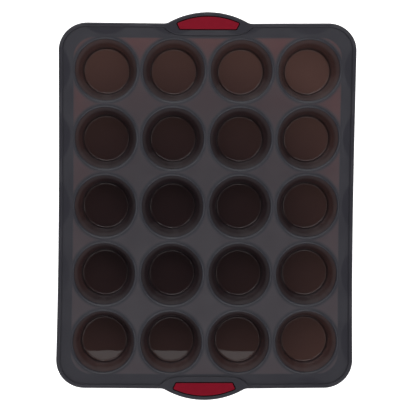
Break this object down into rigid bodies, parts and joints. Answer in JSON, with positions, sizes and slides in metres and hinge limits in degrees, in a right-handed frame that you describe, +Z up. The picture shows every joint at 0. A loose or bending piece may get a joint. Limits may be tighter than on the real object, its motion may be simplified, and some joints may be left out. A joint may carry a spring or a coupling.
{
  "type": "muffin tin",
  "caption": "Flexible silicone muffin tin: a grid of round tapered cups in a flat deck, a steel-stiffened rounded rim with a raised bead, and a handle with a soft grip at each end.",
  "frame": {"origin": "on the table, under the middle of the tray, level with the cups' undersides", "axes": "+Z up out of the cups; +Y along the tray's length, out through the back handle; +X to the right"},
  "size_m": [0.3334, 0.4374, 0.0379],
  "materials": {
    "grey_silicone": "smoky grey translucent silicone, satin on the deck and glossier in the cups",
    "red_silicone": "opaque dark red silicone, satin",
    "stainless_steel": "stamped sheet, hidden inside the rim"
  },
  "bodies": {
    "root": {"silicone_deck": "grey_silicone", "cup_row1_col1": "grey_silicone", "cup_row1_col2": "grey_silicone", "cup_row1_col3": "grey_silicone", "cup_row1_col4": "grey_silicone", "cup_row2_col1": "grey_silicone", "cup_row2_col2": "grey_silicone", "cup_row2_col3": "grey_silicone", "cup_row2_col4": "grey_silicone", "cup_row3_col1": "grey_silicone", "cup_row3_col2": "grey_silicone", "cup_row3_col3": "grey_silicone", "cup_row3_col4": "grey_silicone", "cup_row4_col1": "grey_silicone", "cup_row4_col2": "grey_silicone", "cup_row4_col3": "grey_silicone", "cup_row4_col4": "grey_silicone", "cup_row5_col1": "grey_silicone", "cup_row5_col2": "grey_silicone", "cup_row5_col3": "grey_silicone", "cup_row5_col4": "grey_silicone", "steel_rim_frame": "stainless_steel", "grip_back": "red_silicone", "grip_front": "red_silicone"}
  },
  "joints": []
}
